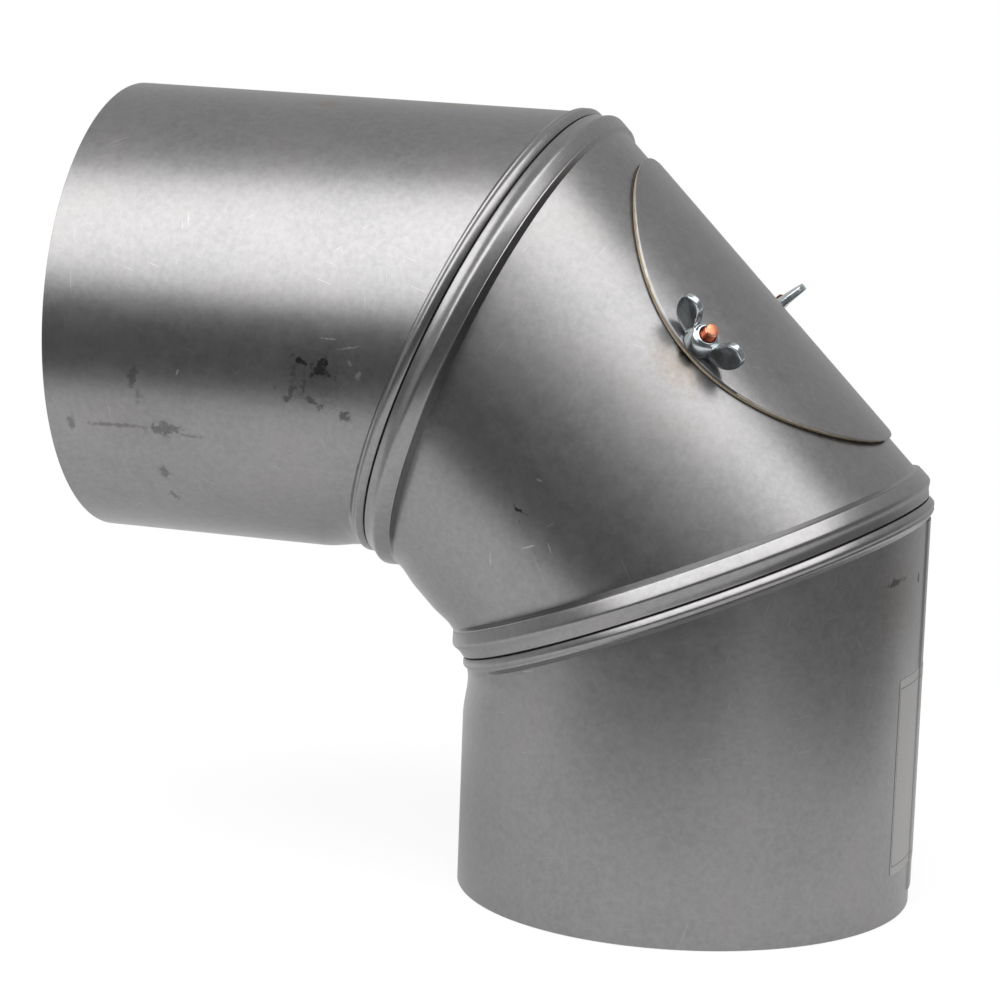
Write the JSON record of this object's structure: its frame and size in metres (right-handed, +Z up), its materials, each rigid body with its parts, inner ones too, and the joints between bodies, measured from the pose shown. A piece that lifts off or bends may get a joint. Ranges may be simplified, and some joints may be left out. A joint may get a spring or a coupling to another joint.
{
  "type": "stovepipe elbow",
  "caption": "Right-angle stovepipe elbow of mitred sheet-steel segments joined by swivel bead seams, with a cleaning hatch held by wing nuts on weld studs.",
  "frame": {"origin": "centre of the lower pipe's open rim", "axes": "+Z up the lower pipe's axis; the elbow bends in the XZ plane and the upper pipe opens towards -X"},
  "size_m": [0.2781, 0.1656, 0.2556],
  "materials": {
    "lower_sheet": "satin aluminised steel sheet with fine scratches",
    "middle_sheet": "satin aluminised steel sheet with fine scratches and weld tint",
    "upper_sheet": "satin aluminised steel sheet with dark smudges",
    "lid_sheet": "satin aluminised steel sheet",
    "seal": "flat fibre sealing band, browned by heat",
    "stud_copper": "copper-plated steel",
    "nut_zinc": "bright zinc plate"
  },
  "bodies": {
    "lower": {"lower_pipe": "lower_sheet"},
    "middle": {"middle_segment": "middle_sheet", "front_stud": "stud_copper", "rear_stud": "stud_copper"},
    "upper": {"upper_pipe": "upper_sheet"},
    "hatch": {"hatch_lid": "lid_sheet", "hatch_seal": "seal"},
    "front_nut": {"front_wing_nut": "nut_zinc"},
    "rear_nut": {"rear_wing_nut": "nut_zinc"}
  },
  "joints": [
    {"name": "lower_swivel", "type": "hinge", "parent": "lower", "child": "middle", "pos_m": [-0.00139, 0, 0.10799], "axis": [-0.3827, 0, 0.9239], "continuous": true},
    {"name": "upper_swivel", "type": "hinge", "parent": "middle", "child": "upper", "pos_m": [-0.07138, 0, 0.17798], "axis": [-0.9239, 0, 0.3827], "continuous": true},
    {"name": "hatch_lift", "type": "slide", "parent": "middle", "child": "hatch", "axis": [0.7061, 0.0523, 0.7061], "range_m": [0, 0.05]},
    {"name": "front_nut_run", "type": "slide", "parent": "middle", "child": "front_nut", "axis": [0.5787, -0.5747, 0.5787], "range_m": [0, 0.05]},
    {"name": "rear_nut_run", "type": "slide", "parent": "middle", "child": "rear_nut", "axis": [0.533, 0.6571, 0.533], "range_m": [0, 0.05]}
  ],
  "couplings": [
    {"joint": "front_nut_run", "follows": "hatch_lift", "ratio": 1},
    {"joint": "rear_nut_run", "follows": "hatch_lift", "ratio": 1}
  ]
}
